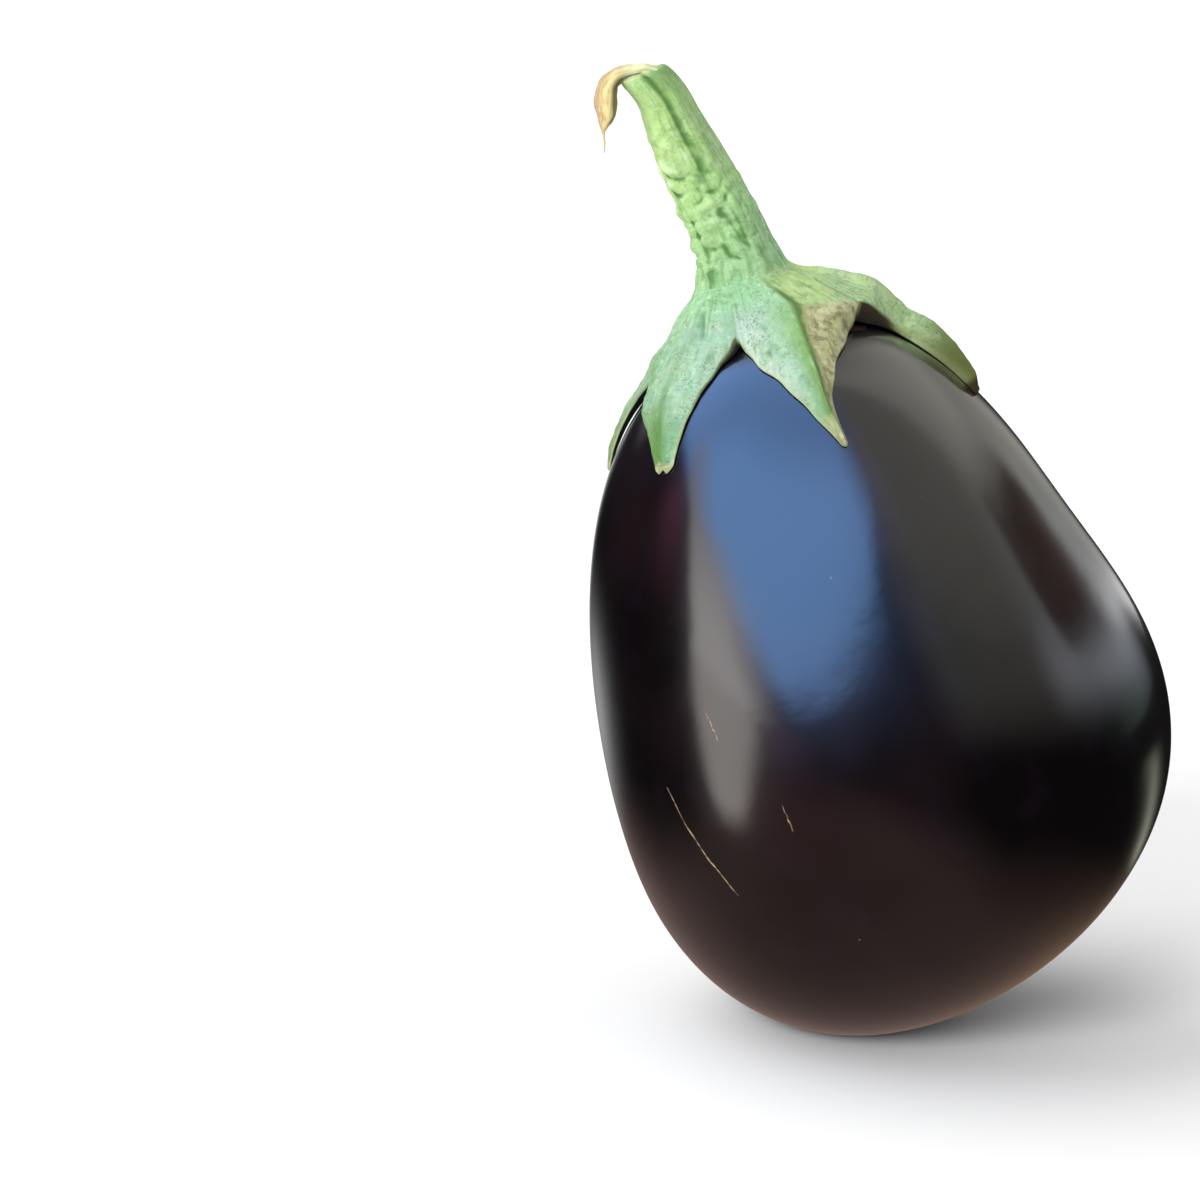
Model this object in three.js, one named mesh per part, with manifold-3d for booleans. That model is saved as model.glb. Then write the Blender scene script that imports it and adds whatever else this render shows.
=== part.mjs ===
// A globe eggplant, as picked: a glossy, pear-shaped fruit under a leathery cap of five
// sepals (the calyx), with its ridged stalk and the withered strip at the stalk's torn end.
// Millimetres, +Z up. The origin is the middle of the small flat spot it stands on.
// The fruit leans to -X, so its own frame (u, v, w) has w along its axis towards the stalk.

import * as THREE from "three";
import { mergeVertices } from "three/addons/utils/BufferGeometryUtils.js";
import Module from "manifold-3d";

const wasm = await Module();
wasm.setup();

// ---------- driving dimensions: millimetres and degrees ----------

const lean = 17; // of the fruit's axis from upright, towards -X
const fruitRadius = 55; // mean radius of the fruit
const fruitCentre = new THREE.Vector3(3.6, 0, 59.4); // above the middle of the flat spot
const capRadius = 66; // radius of the fruit's shoulder, which turns a reach over the skin into an angle

// How the radius departs from a ball: each number is a share of fruitRadius.
const fruitForm = {
  elongation: 0.176, // longer than wide
  pear: 0.1, // heavy end down
  shoulder: 0.018,
  neck: 0.013,
  bellySide: -0.018, // fuller on the side it leans away from
  neckSide: 0.016,
  ribs: 0.006, // five faint lengthwise flats, one below each sepal
};
const blossomScar = { depth: 1.1, radius: 5.5 }; // the dent at the blossom end

// Sepals in turn round the axis. az and reach: direction of the tip from the axis, and its
// distance over the skin. left and right: how far each edge lies from the line to the tip, a
// quarter, half and three quarters of the way out from the notch. midrib: where it runs, at the
// notches and near the tip, as a share of the half-width. ridge and arch: how high the midrib and
// the blade rise. bow and lift: how far the middle and the tip stand off the skin. tip: half its
// width. split: depth of the cleft in it.
const sepals = [
  {
    name: "right", az: -10.5, reach: 41, left: [1.2, 0.4, 0.9], right: [10.6, 8, 4.2],
    midrib: [0, 0], ridge: 3.1, arch: 1.0, bow: 0.1, lift: 0.1, tip: 0.9, split: 0,
  },
  {
    name: "back", az: 80, reach: 39, left: [9.6, 6.6, 2.8], right: [8.8, 5.4, 2.6],
    midrib: [0, 0], ridge: 2.4, arch: 1.2, bow: 0.3, lift: 0.8, tip: 0.9, split: 0,
  },
  {
    name: "back left", az: 166, reach: 38, left: [11.5, 7.5, 3.4], right: [3.2, 2.2, 1.4],
    midrib: [0, 0], ridge: 0.5, arch: 0.3, bow: 1.1, lift: 0.3, tip: 0.7, split: 0,
  },
  {
    name: "front left", az: 227.5, reach: 36.9, left: [13.2, 10.6, 5.6], right: [4.2, 3, 2.3],
    midrib: [0.1, 0.1], ridge: 1.3, arch: 1.0, bow: 0, lift: 0.1, tip: 1.9, split: 1.7,
  },
  {
    name: "front", az: 284, reach: 40.5, left: [5.5, 3.6, 2], right: [10.4, 5.2, 1.7],
    midrib: [0, 0.4], ridge: 2.4, arch: 1.1, bow: 0, lift: 0.1, tip: 0.7, split: 0,
  },
];
// Notches, each after the sepal of the same place in the list: direction, reach over the skin,
// and the cap's top and underside above the skin there.
const notches = [
  { az: 37, reach: 16, top: 3.7, gap: 1.1 },
  { az: 118, reach: 15, top: 3.8, gap: 1.6 },
  { az: 180, reach: 15, top: 3.2, gap: 1.2 },
  { az: 253.5, reach: 13.4, top: 5, gap: 2.9 },
  { az: 342, reach: 17.4, top: 5.2, gap: 3.1 },
];
const collarReach = 6.8; // where cap and stalk meet
const collarHeight = 80.5; // of that joint above the fruit's centre
const shoulderTop = 7.5; // the cap's top above the skin just outside the collar
const skinGap = 0.45; // the cap's underside above the skin where it is attached
const rimThickness = [1.35, 0.9]; // of a sepal's edge, at the notches and at the tip
const edgeWave = 0.22; // waviness of the sepals' edges
const jointGap = 0.35; // between pieces that grow into each other

// The stalk's middle line in the fruit's frame (u, v, w), and its radius there.
const stalk = [
  { at: [0.3, 0, collarHeight + jointGap], radius: 8.2 },
  { at: [0.2, -0.3, 85.5], radius: 7.0 },
  { at: [-0.4, -0.9, 91.5], radius: 6.5 },
  { at: [-1.4, -1.4, 97], radius: 6.2 },
  { at: [-2.6, -2.2, 103.5], radius: 5.8 },
  { at: [-3.6, -3.1, 110], radius: 5.1 },
  { at: [-4.2, -3.7, 115], radius: 4.5 },
  { at: [-5.5, -4.1, 118.6], radius: 4.1 },
  { at: [-6.6, -4.3, 120.2], radius: 3.4 },
];
const endSkew = 0.5; // slope of the torn end across the stalk, its left side the longer
const stalkForm = {
  ridges: 5,
  ridgeAz: 297, // each runs down into a sepal's midrib
  ridgeShare: 0.055, // of the radius
  groove: { az: -79, depth: 1.1, width: 14 }, // the deep groove that runs down from the torn end
  wrinkle: 0.42, // height of the knobbly cross-wrinkles over the lower part
};

// The withered strip that curls over from the torn end, with the fibre that hangs from it.
const strip = [
  { at: [-8.0, -4.6, 121.5], wide: 1.6, thick: 0.7 },
  { at: [-10.3, -4.9, 121.7], wide: 1.8, thick: 1.15 },
  { at: [-12.3, -5.2, 120.3], wide: 2.0, thick: 1.6 },
  { at: [-13.5, -5.4, 118.0], wide: 2.0, thick: 1.9 },
  { at: [-14.1, -5.5, 115.8], wide: 1.7, thick: 1.6 },
  { at: [-14.8, -5.5, 113.8], wide: 0.9, thick: 0.9 },
  { at: [-15.4, -5.5, 112.3], wide: 0.42, thick: 0.42 },
  { at: [-16.2, -5.5, 109.8], wide: 0.38, thick: 0.38 },
];

// Mesh fineness
const fruitSteps = { around: 64, along: 44 };
const capSteps = { disc: 5, lobe: 10 };
const capColumns = [-1, -0.85, -0.62, -0.38, -0.18, 0, 0.18, 0.38, 0.62, 0.85, 1];
const stalkSteps = { around: 40, along: 40 };
const stripSteps = { around: 10, along: 26 };

const colours = { skin: 0x20131f, cap: 0x86b26e, stalk: 0x8fc070, withered: 0xc9ab6a };

// ---------- helpers ----------

const deg = Math.PI / 180;
const mix = (a, b, t) => a + (b - a) * t;
const smooth = (t) => t * t * (3 - 2 * t);
const bump = (x, width) => Math.exp(-((x / width) ** 2));

// Smallest angle from b to a, in degrees.
const turn = (a, b) => ((((a - b) % 360) + 540) % 360) - 180;

// The fruit's own frame, leaning in the row frame.
const fruitFrame = new THREE.Matrix4()
  .makeRotationY(-lean * deg)
  .setPosition(fruitCentre);

// A closed surface from triangles in the fruit's frame, each corner a Vector3.
function solidGeometry(triangles) {
  const geometry = new THREE.BufferGeometry().setFromPoints(triangles.flat());
  return mergeVertices(geometry.applyMatrix4(fruitFrame), 1e-3);
}

// Two triangles for the four-cornered face a, b, c, d, seen anticlockwise from outside.
const quad = (a, b, c, d) => [
  [a, b, c],
  [a, c, d],
];

// The solid round a stack of closed rings, anticlockwise seen from the last ring, with flat ends.
function loftGeometry(rings) {
  const triangles = [];
  const n = rings[0].length;
  for (let i = 0; i + 1 < rings.length; i++) {
    for (let j = 0; j < n; j++) {
      const k = (j + 1) % n;
      triangles.push(...quad(rings[i][j], rings[i][k], rings[i + 1][k], rings[i + 1][j]));
    }
  }
  const middle = (ring) => ring.reduce((sum, p) => sum.add(p), new THREE.Vector3()).divideScalar(n);
  const first = middle(rings[0]);
  const last = middle(rings.at(-1));
  for (let j = 0; j < n; j++) {
    const k = (j + 1) % n;
    triangles.push([first, rings[0][k], rings[0][j]], [last, rings.at(-1)[j], rings.at(-1)[k]]);
  }
  return solidGeometry(triangles);
}

// ---------- the fruit ----------

// Distance from the fruit's centre to its skin, at an angle theta from the stalk end.
function skinRadius(theta, az) {
  const x = Math.cos(theta);
  const s = Math.sin(theta);
  const f = fruitForm;
  const round =
    1 +
    (f.elongation * (3 * x ** 2 - 1)) / 2 +
    (f.pear * (5 * x ** 3 - 3 * x)) / 2 +
    (f.shoulder * (35 * x ** 4 - 30 * x ** 2 + 3)) / 8 +
    (f.neck * (63 * x ** 5 - 70 * x ** 3 + 15 * x)) / 8;
  const side = s * (f.bellySide * (5 * x ** 2 - 1) + f.neckSide * (7 * x ** 3 - 3 * x));
  const ribs = f.ribs * s ** 3 * Math.cos(5 * (az - stalkForm.ridgeAz * deg));
  const scar = blossomScar.depth * bump((Math.PI - theta) * fruitRadius, blossomScar.radius);
  return fruitRadius * (round + side * Math.cos(az) + ribs) - scar;
}

function skinPoint(theta, az) {
  const r = skinRadius(theta, az);
  return new THREE.Vector3(
    r * Math.sin(theta) * Math.cos(az),
    r * Math.sin(theta) * Math.sin(az),
    r * Math.cos(theta),
  );
}

function skinNormal(theta, az) {
  const step = 1e-3;
  const t = Math.max(theta, 0.02);
  const along = skinPoint(t + step, az).sub(skinPoint(t - step, az));
  const across = skinPoint(t, az + step).sub(skinPoint(t, az - step));
  return along.cross(across).normalize();
}

function fruitGeometry() {
  const { around, along } = fruitSteps;
  const rows = [];
  for (let i = 0; i <= along; i++) {
    const row = [];
    for (let j = 0; j < around; j++) {
      row.push(skinPoint((Math.PI * i) / along, (2 * Math.PI * j) / around));
    }
    rows.push(row);
  }
  const triangles = [];
  const top = rows[0][0];
  const bottom = rows[along][0];
  for (let j = 0; j < around; j++) {
    const k = (j + 1) % around;
    triangles.push([top, rows[1][j], rows[1][k]]);
    for (let i = 1; i + 1 < along; i++) {
      triangles.push(...quad(rows[i][j], rows[i + 1][j], rows[i + 1][k], rows[i][k]));
    }
    triangles.push([rows[along - 1][j], bottom, rows[along - 1][k]]);
  }
  return solidGeometry(triangles);
}

// Cuts away what lies below the surface that the fruit stands on.
function cutFlat(geometry) {
  const size = 4 * fruitRadius;
  const below = new THREE.BoxGeometry(size, size, size).translate(0, 0, -size / 2);
  const cut = toSolid(geometry).subtract(toSolid(below)).getMesh();
  return new THREE.BufferGeometry()
    .setAttribute("position", new THREE.BufferAttribute(cut.vertProperties, 3))
    .setIndex(new THREE.BufferAttribute(cut.triVerts, 1));
}

function toSolid(geometry) {
  const bare = geometry.clone();
  bare.deleteAttribute("normal");
  bare.deleteAttribute("uv");
  const merged = mergeVertices(bare, 1e-4);
  return new wasm.Manifold(
    new wasm.Mesh({
      numProp: 3,
      vertProperties: merged.attributes.position.array,
      triVerts: new Uint32Array(merged.index.array),
    }),
  );
}

// ---------- the cap of sepals ----------

// A point at a reach over the skin from the axis, raised above the skin.
function overSkin(reach, az, height) {
  const theta = reach / capRadius;
  return skinPoint(theta, az).addScaledVector(skinNormal(theta, az), height);
}

// In what follows, out runs from -1 at the collar through 0 at the notches to 1 at a sepal's tip,
// and s from -1 to 1 across the sepal.

// Heights above the skin of the cap's top and underside.
function capHeights(sepal, left, right, s, out) {
  const disc = Math.min(1, out + 1); // 0 at the collar, 1 from the notches on
  const lobe = Math.max(0, out);
  const fillet = (collarHeight - skinRadius(0, 0) - shoulderTop) * (1 - disc) ** 4;
  const across = 1 - Math.abs(s) ** 2.2;
  const notchTop = mix(left.top, right.top, (s + 1) / 2);
  const notchGap = mix(left.gap, right.gap, (s + 1) / 2);
  const arch = sepal.arch * smooth(disc) * (1 - 0.6 * lobe) * across;
  const crest = bump(s - mix(sepal.midrib[0], sepal.midrib[1], lobe), 0.26);
  const hump = (0.6 + 0.4 * bump(lobe, 0.13)) * (1 - lobe ** 4);
  const ridge = sepal.ridge * (0.3 + 0.7 * smooth(disc)) * hump * across * crest;
  const bow = 4 * sepal.bow * lobe * (1 - lobe);
  const standOff = notchGap * (1 - lobe) ** 3.5 + bow + sepal.lift * lobe;
  const under = mix(skinGap, Math.max(skinGap, standOff), smooth(disc));
  const thin = under + mix(rimThickness[0], rimThickness[1], lobe);
  const rim = mix(notchTop, thin, smooth(Math.min(1, 3 * lobe)));
  const edge = mix(shoulderTop, rim, smooth(disc)) + fillet;
  return { top: Math.max(edge, thin) + arch + ridge, under };
}

// A smooth curve through equally spaced values, at t from 0 to 1.
function curveThrough(values, t) {
  const x = t * (values.length - 1);
  const i = Math.min(Math.floor(x), values.length - 2);
  const [b, c] = [values[i], values[i + 1]];
  const a = values[i - 1] ?? 2 * b - c;
  const d = values[i + 2] ?? 2 * c - b;
  const f = x - i;
  return b + (f * (c - a + f * (2 * a - 5 * b + 4 * c - d + f * (3 * (b - c) + d - a)))) / 2;
}

// Where a grid point of a sepal lies, as reach over the skin and direction in degrees.
function capPlace(sepal, left, right, s, out) {
  const lobe = Math.max(0, out);
  // the notches, along and across the line from the axis to the tip
  const leftTurn = turn(left.az, sepal.az) * deg;
  const rightTurn = turn(right.az, sepal.az) * deg;
  const start = mix(left.reach * Math.cos(leftTurn), right.reach * Math.cos(rightTurn), (s + 1) / 2);
  const wave = edgeWave * Math.sin(8 * Math.PI * lobe) * Math.abs(s) ** 3 * (1 - lobe);
  const toLeft = curveThrough([-left.reach * Math.sin(leftTurn), ...sepal.left, sepal.tip], lobe);
  const toRight = curveThrough([right.reach * Math.sin(rightTurn), ...sepal.right, sepal.tip], lobe);
  const across = (toRight - toLeft) / 2 + (s * (toRight + toLeft)) / 2 + wave * Math.sign(s);
  const cleft = sepal.split * bump(s, 0.3) + 0.8 * sepal.tip * s * s;
  const along = mix(start + 2.5 * (1 - s * s), sepal.reach - cleft, lobe);
  const reach = Math.hypot(along, across);
  const az = Math.atan2(across, along) / deg;
  // inside the notches, straight in to the collar
  const even = mix(leftTurn, rightTurn, (s + 1) / 2) / deg;
  const disc = Math.min(1, out + 1);
  return { reach: mix(collarReach, reach, disc), az: sepal.az + mix(even, az, disc) };
}

function capGeometry() {
  const { disc, lobe } = capSteps;
  const outs = [];
  for (let k = 0; k <= disc; k++) outs.push(k / disc - 1);
  for (let k = 1; k <= lobe; k++) outs.push(k / lobe);
  const centreTop = new THREE.Vector3(0, 0, collarHeight);
  const centreUnder = new THREE.Vector3(0, 0, skinRadius(0, 0) + skinGap);
  const triangles = [];
  sepals.forEach((sepal, i) => {
    const left = notches.at(i - 1);
    const right = notches[i];
    const tops = [];
    const unders = [];
    for (const out of outs) {
      const place = capColumns.map((s) => capPlace(sepal, left, right, s, out));
      const heights = capColumns.map((s) => capHeights(sepal, left, right, s, out));
      tops.push(place.map((p, j) => overSkin(p.reach, p.az * deg, heights[j].top)));
      unders.push(place.map((p, j) => overSkin(p.reach, p.az * deg, heights[j].under)));
    }
    tops[0].forEach((p) => p.setZ(collarHeight)); // the joint with the stalk is flat
    const last = outs.length - 1;
    const edge = capColumns.length - 1;
    for (let j = 0; j < edge; j++) {
      triangles.push([centreTop, tops[0][j], tops[0][j + 1]]);
      triangles.push([centreUnder, unders[0][j + 1], unders[0][j]]);
      for (let k = 0; k < last; k++) {
        triangles.push(...quad(tops[k][j], tops[k + 1][j], tops[k + 1][j + 1], tops[k][j + 1]));
        triangles.push(...quad(unders[k][j + 1], unders[k + 1][j + 1], unders[k + 1][j], unders[k][j]));
      }
      triangles.push(...quad(tops[last][j], unders[last][j], unders[last][j + 1], tops[last][j + 1]));
    }
    for (let k = disc; k < last; k++) {
      triangles.push(...quad(tops[k][0], unders[k][0], unders[k + 1][0], tops[k + 1][0]));
      triangles.push(...quad(tops[k + 1][edge], unders[k + 1][edge], unders[k][edge], tops[k][edge]));
    }
  });
  return solidGeometry(triangles);
}

// ---------- the stalk and the withered strip ----------

// Rings along a smooth line through the stations. side is where a ring's first point lies, and
// section(t, az) gives a ring point's offsets along that side, at right angles to it and onwards.
function ringsAlong(stations, { along, around }, side, section) {
  const line = new THREE.CatmullRomCurve3(stations.map((s) => new THREE.Vector3(...s.at)));
  const rings = [];
  for (let i = 0; i <= along; i++) {
    const t = i / along;
    const tangent = line.getTangent(t);
    side.addScaledVector(tangent, -side.dot(tangent)).normalize();
    const back = tangent.clone().cross(side);
    const ring = [];
    for (let j = 0; j < around; j++) {
      const [x, y, z] = section(t, (360 * j) / around);
      const p = line.getPoint(t).addScaledVector(side, x).addScaledVector(back, y);
      ring.push(p.addScaledVector(tangent, z));
    }
    rings.push(ring);
  }
  return rings;
}

// A station's value at t, eased between the stations.
function valueAlong(stations, key, t) {
  const x = t * (stations.length - 1);
  const i = Math.min(Math.floor(x), stations.length - 2);
  return mix(stations[i][key], stations[i + 1][key], smooth(x - i));
}

function stalkGeometry() {
  const { ridges, ridgeAz, ridgeShare, groove, wrinkle } = stalkForm;
  const section = (t, az) => {
    const r = valueAlong(stalk, "radius", t);
    const ridge = 1 + ridgeShare * Math.cos(ridges * (az - ridgeAz) * deg);
    const deep = groove.depth * smooth(Math.min(1, 1.6 * t)) * bump(turn(az, groove.az), groove.width);
    const knobbly = wrinkle * bump(t - 0.28, 0.3) * (0.5 - 0.5 * Math.cos(az * deg)) ** 0.7;
    const knobs = knobbly * Math.sin(62 * t + 2.2 * Math.sin(2 * az * deg)) * Math.cos(3 * az * deg + 9 * t);
    const out = r * ridge - deep + (t > 0 ? knobs : 0);
    const x = out * Math.cos(az * deg);
    return [x, out * Math.sin(az * deg), -endSkew * smooth(Math.max(0, 4 * t - 3)) * x];
  };
  const rings = ringsAlong(stalk, stalkSteps, new THREE.Vector3(1, 0, 0), section);
  rings[0].forEach((p) => p.setZ(collarHeight + jointGap)); // the joint with the cap is flat
  return loftGeometry(rings);
}

function stripGeometry() {
  const section = (t, az) => [
    valueAlong(strip, "thick", t) * Math.cos(az * deg),
    valueAlong(strip, "wide", t) * Math.sin(az * deg),
    0,
  ];
  return loftGeometry(ringsAlong(strip, stripSteps, new THREE.Vector3(0, 0, 1), section));
}

// ---------- the eggplant ----------

function piece(name, geometry, color, roughness) {
  const mesh = new THREE.Mesh(
    geometry,
    new THREE.MeshStandardMaterial({ color, roughness, metalness: 0 }),
  );
  mesh.name = name;
  return mesh;
}

const eggplant = new THREE.Group();
eggplant.add(
  piece("fruit", cutFlat(fruitGeometry()), colours.skin, 0.18),
  piece("calyx", capGeometry(), colours.cap, 0.6),
  piece("stem", stalkGeometry(), colours.stalk, 0.6),
  piece("dry_stem_tip", stripGeometry(), colours.withered, 0.8),
);

export default eggplant;
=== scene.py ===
import math

import bmesh
import bpy
import numpy as np
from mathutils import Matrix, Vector


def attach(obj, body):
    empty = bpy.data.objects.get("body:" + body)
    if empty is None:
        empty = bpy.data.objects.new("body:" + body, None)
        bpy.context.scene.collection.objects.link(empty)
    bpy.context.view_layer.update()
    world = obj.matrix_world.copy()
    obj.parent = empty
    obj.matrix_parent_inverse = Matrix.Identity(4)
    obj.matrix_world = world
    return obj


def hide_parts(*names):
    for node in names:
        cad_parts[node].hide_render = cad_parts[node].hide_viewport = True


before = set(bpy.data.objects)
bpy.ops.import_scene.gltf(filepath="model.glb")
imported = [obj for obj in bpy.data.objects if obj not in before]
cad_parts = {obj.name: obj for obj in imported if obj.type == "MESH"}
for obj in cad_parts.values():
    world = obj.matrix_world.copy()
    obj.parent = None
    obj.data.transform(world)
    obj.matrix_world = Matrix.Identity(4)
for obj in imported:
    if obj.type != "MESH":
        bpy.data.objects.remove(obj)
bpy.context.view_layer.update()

# A globe eggplant at life size. Its surfaces are worked out in millimetres in the fruit's own
# frame, whose third axis runs from its middle to the stalk, and then set in the row frame.

deg = math.pi / 180
lean = 17 * deg
centre = np.array([3.6, 0, 59.4])
axes = np.array([
    [math.cos(lean), 0, math.sin(lean)],
    [0, 1, 0],
    [-math.sin(lean), 0, math.cos(lean)],
])
rng = np.random.default_rng(11)
order = rng.permutation(256)
slopes = rng.normal(size=(256, 3))
slopes /= np.linalg.norm(slopes, axis=1)[:, None]


# From a to b by the share t.
def mix(a, b, t):
    return a + (b - a) * t


# A smooth rise from 0 to 1: t squared times 3 less 2t.
def ease(t):
    t = np.clip(t, 0, 1)
    return t * t * (3 - 2 * t)


# A bell, 1 at 0 and down to 0.37 at the width.
def bump(x, width):
    return np.exp(-((x / width) ** 2))


# How far direction a lies past b, from -180 to 180 degrees.
def turn(a, b):
    return (a - b + 180) % 360 - 180


def unit(v):
    return v / np.maximum(np.linalg.norm(v, axis=-1, keepdims=True), 1e-12)


# Arrays and numbers side by side, as the last axis.
def beside(*parts):
    return np.stack(np.broadcast_arrays(*parts), -1)


# Points that are x and y away from a line's, along its two cross directions.
def offLine(at, side, back, x, y):
    return at + side * x[..., None] + back * y[..., None]


# Smooth seeded unevenness, about -1 to 1, with lumps of that size: the eased mean, over a
# lattice cell's corners, of a random slope times the distance from the corner.
def lumps(points, size, shift=0.0):
    p = points / np.asarray(size, float) + shift
    cell = np.floor(p).astype(int)
    part = p - cell
    eased = part**3 * (part * (6 * part - 15) + 10)
    total = np.zeros(p.shape[:-1])
    for corner in np.ndindex(2, 2, 2):
        c = cell + np.array(corner)
        pick = order[(order[(order[c[..., 0] & 255] + c[..., 1]) & 255] + c[..., 2]) & 255]
        weight = np.prod(np.where(np.array(corner) == 1, eased, 1 - eased), axis=-1)
        total += weight * ((part - np.array(corner)) * slopes[pick]).sum(-1)
    return 1.7 * total


# A smooth curve through equally spaced values, straight on beyond its ends, at t from 0 to 1.
def curveThrough(values, t):
    v = np.array([2 * values[0] - values[1], *values, 2 * values[-1] - values[-2]], float)
    x = np.clip(t, 0, 1) * (len(values) - 1)
    i = np.clip(np.floor(x).astype(int), 0, len(values) - 2)
    a, b, c, d, f = v[i], v[i + 1], v[i + 2], v[i + 3], x - i
    return b + (f * (c - a + f * (2 * a - 5 * b + 4 * c - d + f * (3 * (b - c) + d - a)))) / 2


# From millimetres in the fruit's frame to metres in the row frame.
def inRow(points):
    return (centre + points @ axes) / 1000


# Corner numbers of the four-sided faces of a grid, anticlockwise seen from outside where rows
# climb and columns run anticlockwise seen from above.
def gridFaces(rows, columns, closed, first=0):
    r = np.arange(rows - 1)[:, None] * columns
    c = np.arange(columns if closed else columns - 1)[None, :]
    k = (c + 1) % columns
    faces = beside(r + c, r + k, r + k + columns, r + c + columns)
    return faces.reshape(-1, 4) + first


# Triangles between a closed ring of corners and a pole.
def fanFaces(first, columns, pole, flip=False):
    j = np.arange(columns)
    k = (j + 1) % columns
    a, b = (k, j) if flip else (j, k)
    return beside(first + a, first + b, pole)


def addObject(name, data):
    made = bpy.data.objects.new(name, data)
    bpy.context.scene.collection.objects.link(made)
    return made


def makePiece(name, points, faces, material, marks=None, merge=0.0):
    mesh = bpy.data.meshes.new(name)
    mesh.from_pydata(inRow(points), [], [face for group in faces for face in group.tolist()])
    for key, values in (marks or {}).items():
        vector = values.ndim == 2
        layer = mesh.attributes.new(key, "FLOAT_VECTOR" if vector else "FLOAT", "POINT")
        layer.data.foreach_set("vector" if vector else "value", values.astype(np.float32).ravel())
    if merge:
        work = bmesh.new()
        work.from_mesh(mesh)
        bmesh.ops.remove_doubles(work, verts=work.verts, dist=merge / 1000)
        bmesh.ops.dissolve_degenerate(work, edges=work.edges, dist=1e-7)
        work.to_mesh(mesh)
        work.free()
    mesh.shade_smooth()
    mesh.update()
    mesh.materials.append(material)
    piece = addObject(name, mesh)
    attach(piece, "root")
    return piece


# A colour as sRGB hex, turned linear.
def paint(code):
    parts = [int(code[i:i + 2], 16) / 255 for i in (1, 3, 5)]
    return (*[p / 12.92 if p < 0.04045 else ((p + 0.055) / 1.055) ** 2.4 for p in parts], 1)


# Adds a node: its inputs by name or number, each a value or a socket to link, then which
# output to hand back, then its settings.
def addNode(tree, kind, inputs=None, out=0, **settings):
    made = tree.nodes.new("ShaderNode" + kind)
    for key, value in settings.items():
        setattr(made, key, value)
    for key, value in (inputs or {}).items():
        if isinstance(value, bpy.types.NodeSocket):
            tree.links.new(value, made.inputs[key])
        else:
            made.inputs[key].default_value = value
    return made.outputs[out] if len(made.outputs) else None


# A share is a product of numbers, named values, and named values that rise smoothly from 0 at
# one level to 1 at another.
def shareOf(tree, values, factors):
    share = None
    for factor in factors:
        if isinstance(factor, tuple):
            name, low, high = factor
            factor = addNode(tree, "MapRange", {0: values[name], 1: low, 2: high},
                             interpolation_type="SMOOTHSTEP")
        factor = values.get(factor, factor)
        share = factor if share is None else addNode(
            tree, "Math", {0: share, 1: factor}, operation="MULTIPLY")
    return share


# A colour is a code, one already made, or two colours and the second one's share.
def colourOf(tree, values, given):
    if isinstance(given, str):
        return paint(given)
    if not isinstance(given, tuple):
        return given
    first, second, *factors = given
    return addNode(tree, "Mix", {
        0: shareOf(tree, values, factors), 6: colourOf(tree, values, first),
        7: colourOf(tree, values, second)}, 2, data_type="RGBA")


# Each piece's finish is one dictionary. Its "marks" are attributes of the mesh. A noise has the
# size of its lumps in mm, or how it is scaled across and along the fibres, then its detail,
# roughness and distortion. What is "made" of these is a weighted sum as a dictionary, a share
# as a list, or an operation on two values. "layers" are colours from the lowest up, with their
# shares. "bumps" give what is raised, how strongly, and by how many metres.
def makeMaterial(name, finish):
    made = bpy.data.materials.new(name)
    made.use_nodes = True
    tree = made.node_tree
    tree.nodes.clear()
    place = addNode(tree, "TexCoord", out="Object")
    values = {key: addNode(tree, "Attribute", out="Fac", attribute_name=key)
              for key in finish["marks"]}
    for key, (size, detail, *rest) in finish["noises"].items():
        rough, twist = rest or (0.55, 0)
        if isinstance(size, tuple):
            fibre = addNode(tree, "Attribute", out="Vector", attribute_name="fibre")
            where, scale = addNode(tree, "Mapping", {"Vector": fibre, "Scale": (*size, 1)}), 1.0
        else:
            where, scale = place, 1000 / size
        values[key] = addNode(tree, "TexNoise", {
            "Vector": where, "Scale": scale, "Detail": detail, "Roughness": rough,
            "Distortion": twist})
    if "dotPitch" in finish:  # cells with a tone each, and how far a point is from its cell's dot
        cells = {"Vector": place, "Scale": 1000 / finish["dotPitch"]}
        tones = addNode(tree, "TexVoronoi", cells, "Color")
        values["dotTone"] = addNode(tree, "SeparateColor", {0: tones})
        values["dotReach"] = addNode(tree, "TexVoronoi", cells, "Distance")
    for key, recipe in finish["made"].items():
        if isinstance(recipe, list):
            values[key] = shareOf(tree, values, recipe)
        elif isinstance(recipe, tuple):
            operation, a, b = recipe
            values[key] = addNode(tree, "Math", {0: values.get(a, a), 1: values.get(b, b)},
                                  operation=operation)
        else:
            values[key] = recipe.get("plus", 0.0)
            for source, weight in recipe.items():
                if source != "plus":
                    values[key] = addNode(tree, "Math", {0: values[source], 1: weight,
                                                         2: values[key]}, operation="MULTIPLY_ADD")
    colour = colourOf(tree, values, finish["layers"][0])
    for layer in finish["layers"][1:]:
        colour = colourOf(tree, values, (colour, *layer))
    inputs = {"Base Color": colour}
    for key, value in finish["shader"].items():
        inputs[key] = values.get(value, value)
    for key, (source, strength, distance) in finish["bumps"].items():
        inputs[key] = addNode(tree, "Bump", {"Height": values[source], "Strength": strength,
                                             "Distance": distance})
    addNode(tree, "OutputMaterial", {0: addNode(tree, "BsdfPrincipled", inputs)})
    return made


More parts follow.
